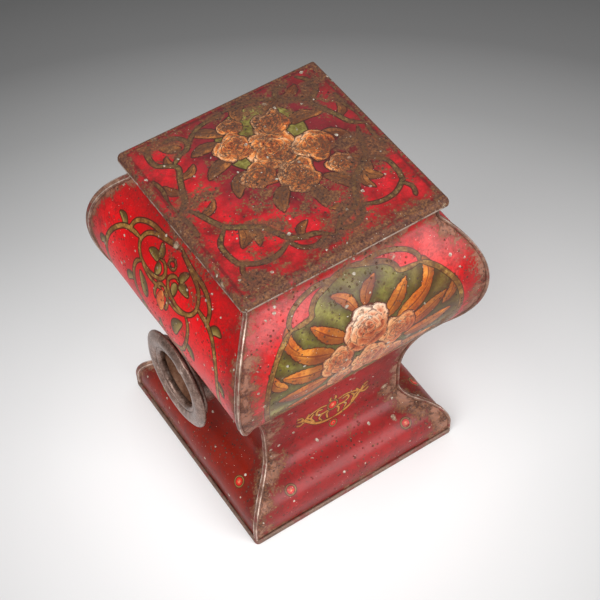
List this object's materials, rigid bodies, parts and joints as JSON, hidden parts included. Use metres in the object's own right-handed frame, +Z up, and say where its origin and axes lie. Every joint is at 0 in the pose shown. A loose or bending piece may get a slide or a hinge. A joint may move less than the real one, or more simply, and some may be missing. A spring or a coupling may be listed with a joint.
{
  "type": "magic lantern",
  "caption": "Square waisted tinplate lantern with a hinged lid, a focusing lens tube on one side, and an oil lamp, condenser and slide stage inside.",
  "frame": {"origin": "centre of the base, on the surface it stands on", "axes": "+Z up, -Y out of the front, -X along the lens towards the picture, hinge of the lid at +Y"},
  "size_m": [0.1298, 0.1298, 0.1749],
  "materials": {
    "red_tinplate": "lithographed, worn",
    "base_tinplate": "lacquered, rubbed brown",
    "seam_tinplate": "rubbed bare",
    "bare_tinplate": "tarnished",
    "lid_tinplate": "lithographed, worn",
    "steel_ring": "browned",
    "hinge_steel": "browned",
    "black_tinplate": "blackened",
    "brass": "dull",
    "polished_tin": "polished",
    "lens_glass": "clear",
    "chimney_glass": "clear",
    "cotton": "woven"
  },
  "bodies": {
    "case": {"base_pan": "base_tinplate", "front_panel": "red_tinplate", "back_panel": "red_tinplate", "lens_panel": "red_tinplate", "lamp_panel": "red_tinplate", "corner_seams": "seam_tinplate", "lid_collar": "bare_tinplate", "neck_hinge_leaf": "hinge_steel", "hinge_pin": "hinge_steel", "lens_socket": "steel_ring", "stage_partition": "black_tinplate", "slide_rails": "black_tinplate", "condenser_cell": "bare_tinplate", "condenser_lens": "lens_glass", "reflector": "polished_tin", "reflector_stem": "bare_tinplate", "lamp_seat": "black_tinplate"},
    "lid": {"lid_shell": "lid_tinplate", "lid_inner_band": "bare_tinplate", "lid_hinge_leaf": "hinge_steel"},
    "lens_mount": {"lens_ring": "steel_ring", "draw_tube": "steel_ring", "objective_lens": "lens_glass", "lens_retainers": "bare_tinplate"},
    "lamp": {"oil_reservoir": "brass", "burner": "brass", "chimney_gallery": "brass"},
    "lamp_chimney": {"chimney": "chimney_glass"},
    "filler": {"filler_cap": "brass"},
    "winder": {"wick_winder": "brass"},
    "wick": {"wick": "cotton"}
  },
  "joints": [
    {"name": "lid_hinge", "type": "hinge", "parent": "case", "child": "lid", "pos_m": [0, 0.0496, 0.16619], "axis": [-1, 0, 0], "range_deg": [0, 180]},
    {"name": "focus_slide", "type": "slide", "parent": "case", "child": "lens_mount", "axis": [-1, 0, 0], "range_m": [0, 0.014]},
    {"name": "lamp_lift", "type": "slide", "parent": "case", "child": "lamp", "axis": [0, 0, 1], "range_m": [0, 0.04]},
    {"name": "chimney_lift", "type": "slide", "parent": "lamp", "child": "lamp_chimney", "axis": [0, 0, 1], "range_m": [0, 0.03]},
    {"name": "cap_turn", "type": "hinge", "parent": "lamp", "child": "filler", "pos_m": [0.004, 0.016, 0.028], "axis": [0, 0, 1], "continuous": true},
    {"name": "winder_turn", "type": "hinge", "parent": "lamp", "child": "winder", "pos_m": [0.0084, 0, 0.041], "axis": [0, 1, 0], "range_deg": [-75, 114]},
    {"name": "wick_rise", "type": "slide", "parent": "lamp", "child": "wick", "axis": [0, 0, 1], "range_m": [-0.0039, 0.0059]}
  ],
  "couplings": [
    {"joint": "winder_turn", "follows": "wick_rise", "rad_per_m": 333.33}
  ]
}
